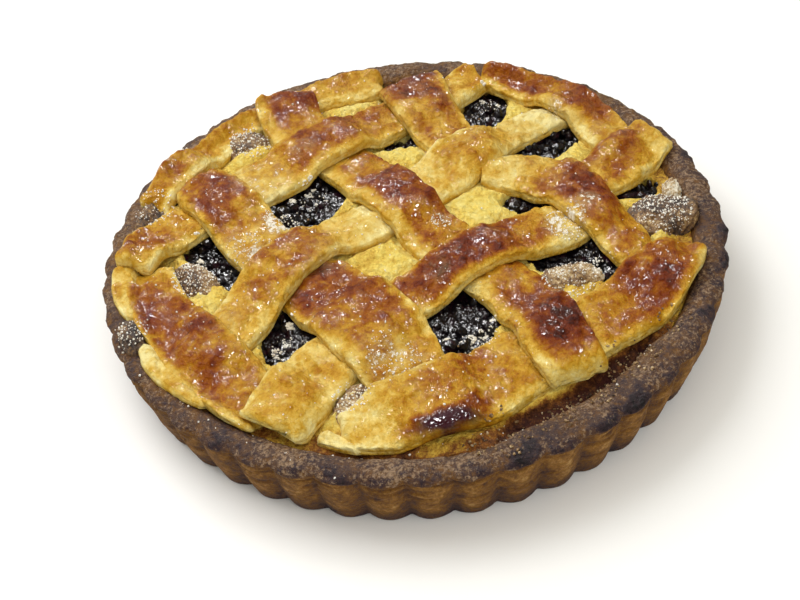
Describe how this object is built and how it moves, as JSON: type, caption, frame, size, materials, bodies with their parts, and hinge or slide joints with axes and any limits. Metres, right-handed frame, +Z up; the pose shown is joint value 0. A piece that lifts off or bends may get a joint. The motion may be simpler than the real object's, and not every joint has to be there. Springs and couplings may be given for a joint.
{
  "type": "lattice fruit pie",
  "caption": "Round fluted shortcrust pie with a sponge and bramble filling under a woven lattice of glazed pastry strips.",
  "frame": {"origin": "middle of the flat base", "axes": "+Z up through the lattice; the base rests on z = 0; -Y is the side that faces the viewer"},
  "size_m": [0.2298, 0.2299, 0.0391],
  "materials": {
    "shortcrust": "browned, sandy shortcrust with a dark rim",
    "sponge": "open-crumbed yellow sponge",
    "fruit": "baked bramble fruit, near black and wet",
    "puff_pastry": "egg-washed puff pastry, browned on its crests",
    "crumb": "browned crumb with sugar grains"
  },
  "bodies": {
    "root": {"pastry_case": "shortcrust", "sponge_filling": "sponge", "bramble_fruit_1": "fruit", "bramble_fruit_2": "fruit", "bramble_fruit_3": "fruit", "bramble_fruit_4": "fruit", "bramble_fruit_5": "fruit", "bramble_fruit_6": "fruit", "bramble_fruit_7": "fruit", "bramble_fruit_8": "fruit", "bramble_fruit_9": "fruit", "bramble_fruit_10": "fruit", "edge_berry": "fruit", "strip_a1": "puff_pastry", "strip_a2": "puff_pastry", "strip_a3": "puff_pastry", "strip_a4": "puff_pastry", "strip_a5": "puff_pastry", "strip_a6": "puff_pastry", "strip_b1": "puff_pastry", "strip_b2": "puff_pastry", "strip_b3": "puff_pastry", "strip_b4": "puff_pastry", "strip_b5": "puff_pastry", "strip_b6": "puff_pastry", "edge_flake": "puff_pastry", "crumb_mound_1": "crumb", "crumb_mound_2": "crumb", "crumb_mound_3": "crumb", "crumb_mound_4": "crumb", "crumb_mound_5": "crumb", "crumb_mound_6": "crumb", "crumb_mound_7": "crumb"}
  },
  "joints": []
}
